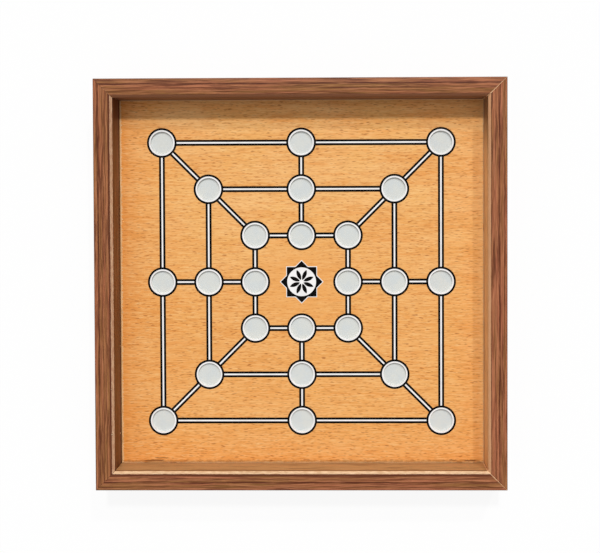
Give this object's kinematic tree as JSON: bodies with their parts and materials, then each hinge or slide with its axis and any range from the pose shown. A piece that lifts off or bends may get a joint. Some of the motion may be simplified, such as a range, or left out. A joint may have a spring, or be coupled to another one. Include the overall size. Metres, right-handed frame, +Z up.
{
  "type": "nine mens morris tray",
  "caption": "Square open game tray with a mitred walnut-look frame and a beech-look board whose round wells are joined by black and white lines.",
  "frame": {"origin": "middle of the tray's underside, on the plane of the table that it lies on", "axes": "+X to the right and +Y to the back (the top of the picture), with +Z up, out of the wells"},
  "size_m": [0.3, 0.3, 0.03],
  "materials": {
    "walnut_foil": "reddish-brown walnut-look foil on a fibreboard moulding, satin, grain along each rail",
    "beech_film": "warm beech-look film with short dark flecks, satin",
    "white_sheet": "pale grey-white rigid sheet, matte",
    "hardboard": "brown pressed hardboard, matte",
    "black_ink": "printed black ink, satin",
    "white_ink": "printed white ink, satin",
    "steel": "bright steel nails"
  },
  "bodies": {
    "root": {"rail_front": "walnut_foil", "rail_back": "walnut_foil", "rail_left": "walnut_foil", "rail_right": "walnut_foil", "base_panel": "hardboard", "backing_panel": "white_sheet", "drilled_sheet": "white_sheet", "beech_film": "beech_film", "line_print_black": "black_ink", "line_print_white": "white_ink", "star_print_black": "black_ink", "star_print_white": "white_ink", "corner_v_nails": "steel", "base_nails": "steel"}
  },
  "joints": []
}
